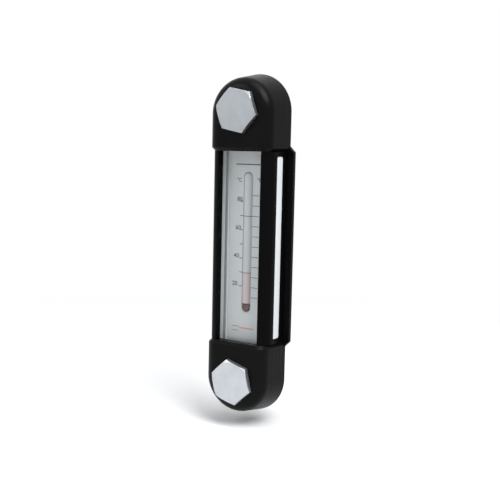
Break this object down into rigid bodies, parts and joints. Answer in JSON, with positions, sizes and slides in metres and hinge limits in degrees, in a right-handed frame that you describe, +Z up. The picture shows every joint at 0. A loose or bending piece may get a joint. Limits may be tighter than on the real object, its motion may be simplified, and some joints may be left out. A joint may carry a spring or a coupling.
{
  "type": "tank level gauge",
  "caption": "Upright fluid level gauge with a thermometer: end caps, a white body behind a clear pane in a black channel, and hollow mounting bolts.",
  "frame": {"origin": "on the gauge's flat rear face, which is the tank wall's face, midway between the two bolt axes", "axes": "+Z up along the gauge, towards the upper bolt; +Y into the tank, along the bolts; +X across the gauge"},
  "size_m": [0.0406, 0.036, 0.1628],
  "materials": {
    "black_channel": "satin",
    "black_plastic": "satin",
    "clear_plastic": "polished",
    "seal_rubber": "matte",
    "white_plastic": "satin",
    "thermometer_glass": "polished",
    "red_liquid": "gloss",
    "bright_steel": "satin"
  },
  "bodies": {
    "root": {"guard_channel": "black_channel", "upper_end_cap": "black_plastic", "lower_end_cap": "black_plastic", "gauge_body": "white_plastic", "sight_pane": "clear_plastic", "pane_cord": "seal_rubber", "upper_port_gasket": "seal_rubber", "lower_port_gasket": "seal_rubber", "scale_plate": "white_plastic", "thermometer_glass": "thermometer_glass", "thermometer_liquid": "red_liquid", "upper_bolt": "bright_steel", "lower_bolt": "bright_steel", "upper_head_ring": "seal_rubber", "lower_head_ring": "seal_rubber", "upper_tank_ring": "seal_rubber", "lower_tank_ring": "seal_rubber"}
  },
  "joints": []
}
